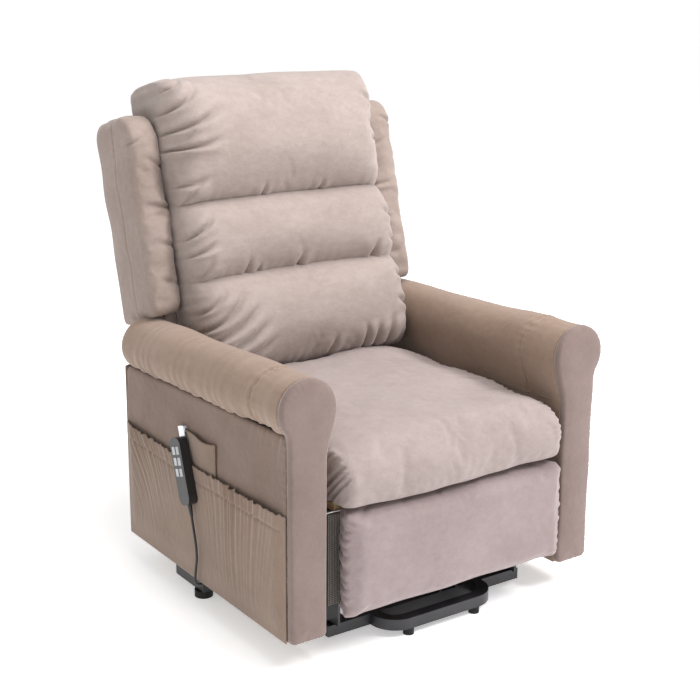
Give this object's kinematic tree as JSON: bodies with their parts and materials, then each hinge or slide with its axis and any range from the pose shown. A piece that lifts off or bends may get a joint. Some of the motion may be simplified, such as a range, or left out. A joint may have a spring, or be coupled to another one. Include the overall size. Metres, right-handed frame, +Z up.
{
  "type": "lift recliner chair",
  "caption": "Upholstered riser recliner armchair with rolled arms, waterfall back, folding footrest, link lift on a steel base and a corded handset.",
  "frame": {"origin": "on the floor, under the middle of the chair's overall box", "axes": "+Z up, -Y the way the sitter faces, +X to the sitter's left"},
  "size_m": [0.8527, 0.9427, 1.1344],
  "materials": {
    "microsuede": "short napped microsuede",
    "pocket_fabric": "napped microsuede",
    "timber": "raw plywood",
    "bright_zinc": "zinc plated",
    "webbing": "woven elastic webbing",
    "black_cloth": "black dust cloth over a plywood board",
    "button_grey": "satin",
    "black_plastic": "satin moulded",
    "black_rubber": "matt",
    "black_steel": "semi-gloss powder coat"
  },
  "bodies": {
    "base": {"base_front_loop": "black_steel", "base_cross_bars": "black_steel", "base_side_rails": "black_steel", "base_side_stubs": "black_steel", "base_feet": "black_rubber", "lift_brackets": "black_steel"},
    "rear_links": {"rear_lift_links": "black_steel"},
    "front_links": {"front_lift_links": "black_steel"},
    "carriage": {"lift_plates": "black_steel", "side_plates": "black_steel", "cross_tubes": "black_steel", "seat_side_rails": "timber", "seat_cross_rails": "timber", "seat_springs": "bright_zinc", "seat_cushion": "microsuede", "arm_boards": "timber", "arm_outer_panel_left": "microsuede", "arm_outer_panel_right": "microsuede", "arm_inner_panels": "microsuede", "arm_roll_left": "microsuede", "arm_roll_right": "microsuede", "arm_facing_left": "microsuede", "arm_facing_right": "microsuede", "side_pocket": "pocket_fabric", "handset_pocket": "pocket_fabric", "handset_clip": "bright_zinc", "handset_body": "black_plastic", "handset_strain_relief": "black_plastic", "handset_cord": "black_rubber", "control_box": "black_plastic", "rear_panel": "microsuede", "back_actuator_motor": "black_plastic"},
    "back": {"back_side_rails": "timber", "back_cross_rails": "timber", "back_hinge_brackets": "black_steel", "back_webbing": "webbing", "back_shell": "microsuede", "wing_left": "microsuede", "wing_right": "microsuede", "head_pillow": "microsuede", "middle_roll": "microsuede", "lumbar_pillow": "microsuede"},
    "foot_front": {"foot_front_links": "black_steel", "foot_drive_tube": "black_steel"},
    "foot_rear": {"foot_rear_links": "black_steel"},
    "foot_upper": {"foot_upper_links": "black_steel"},
    "foot_lower": {"foot_lower_links": "black_steel"},
    "footrest": {"footrest_brackets": "black_steel", "footrest_board": "black_cloth", "footrest_pad": "microsuede"},
    "lift_motor": {"lift_actuator_motor": "black_plastic"},
    "lift_rod": {"lift_actuator_rod": "bright_zinc"},
    "back_rod": {"back_actuator_rod": "bright_zinc"},
    "button_1_body": {"button_1": "button_grey"},
    "button_2_body": {"button_2": "button_grey"},
    "button_3_body": {"button_3": "button_grey"},
    "button_4_body": {"button_4": "button_grey"},
    "button_5_body": {"button_5": "button_grey"},
    "button_6_body": {"button_6": "button_grey"}
  },
  "joints": [
    {"name": "lift", "type": "hinge", "parent": "base", "child": "rear_links", "pos_m": [0, -0.3, 0.11], "axis": [1, 0, 0], "range_deg": [0, 50]},
    {"name": "lift_tilt", "type": "hinge", "parent": "rear_links", "child": "carriage", "pos_m": [0, 0.18, 0.11], "axis": [1, 0, 0], "range_deg": [-28, 0]},
    {"name": "lift_front_link_swing", "type": "hinge", "parent": "base", "child": "front_links", "pos_m": [0, -0.36, 0.108], "axis": [1, 0, 0], "range_deg": [0, 54.2]},
    {"name": "recline", "type": "hinge", "parent": "carriage", "child": "back", "pos_m": [0, 0.2, 0.33], "axis": [-1, 0, 0], "range_deg": [0, 40]},
    {"name": "footrest_open", "type": "hinge", "parent": "carriage", "child": "foot_front", "pos_m": [0, -0.302, 0.318], "axis": [-1, 0, 0], "range_deg": [0, 88]},
    {"name": "footrest_rear_link_swing", "type": "hinge", "parent": "carriage", "child": "foot_rear", "pos_m": [0, -0.232, 0.294], "axis": [-1, 0, 0], "range_deg": [0, 88]},
    {"name": "footrest_upper_link_turn", "type": "hinge", "parent": "foot_front", "child": "foot_upper", "pos_m": [0, -0.236, 0.176], "axis": [-1, 0, 0], "range_deg": [-88, 0]},
    {"name": "footrest_lower_link_turn", "type": "hinge", "parent": "foot_front", "child": "foot_lower", "pos_m": [0, -0.236, 0.105], "axis": [-1, 0, 0], "range_deg": [-88, 0]},
    {"name": "footrest_bracket_turn", "type": "hinge", "parent": "foot_upper", "child": "footrest", "pos_m": [0, -0.371, 0.289], "axis": [-1, 0, 0], "range_deg": [0, 88]},
    {"name": "lift_motor_swing", "type": "hinge", "parent": "base", "child": "lift_motor", "pos_m": [0.06, -0.34, 0.08], "axis": [1, 0, 0], "range_deg": [0, 46.5]},
    {"name": "lift_rod_slide", "type": "slide", "parent": "lift_motor", "child": "lift_rod", "axis": [0, 0.9203, 0.3911], "range_m": [0, 0.0852]},
    {"name": "back_rod_slide", "type": "slide", "parent": "carriage", "child": "back_rod", "axis": [0, 1, 0], "range_m": [-0.0777, 0]},
    {"name": "button_1_press", "type": "slide", "parent": "carriage", "child": "button_1_body", "axis": [1, 0, 0], "range_m": [0, 0.0012], "stiffness_N_per_m": 600},
    {"name": "button_2_press", "type": "slide", "parent": "carriage", "child": "button_2_body", "axis": [1, 0, 0], "range_m": [0, 0.0012], "stiffness_N_per_m": 600},
    {"name": "button_3_press", "type": "slide", "parent": "carriage", "child": "button_3_body", "axis": [1, 0, 0], "range_m": [0, 0.0012], "stiffness_N_per_m": 600},
    {"name": "button_4_press", "type": "slide", "parent": "carriage", "child": "button_4_body", "axis": [1, 0, 0], "range_m": [0, 0.0012], "stiffness_N_per_m": 600},
    {"name": "button_5_press", "type": "slide", "parent": "carriage", "child": "button_5_body", "axis": [1, 0, 0], "range_m": [0, 0.0012], "stiffness_N_per_m": 600},
    {"name": "button_6_press", "type": "slide", "parent": "carriage", "child": "button_6_body", "axis": [1, 0, 0], "range_m": [0, 0.0012], "stiffness_N_per_m": 600}
  ],
  "couplings": [
    {"joint": "lift_tilt", "follows": "lift", "ratio": -0.5575},
    {"joint": "lift_front_link_swing", "follows": "lift", "ratio": 1.0825},
    {"joint": "lift_motor_swing", "follows": "lift", "ratio": 0.9268},
    {"joint": "lift_rod_slide", "follows": "lift", "m_per_rad": 0.0974},
    {"joint": "footrest_rear_link_swing", "follows": "footrest_open", "ratio": 1},
    {"joint": "footrest_upper_link_turn", "follows": "footrest_open", "ratio": -1},
    {"joint": "footrest_lower_link_turn", "follows": "footrest_open", "ratio": -1},
    {"joint": "footrest_bracket_turn", "follows": "footrest_open", "ratio": 1},
    {"joint": "back_rod_slide", "follows": "recline", "m_per_rad": -0.1109}
  ]
}
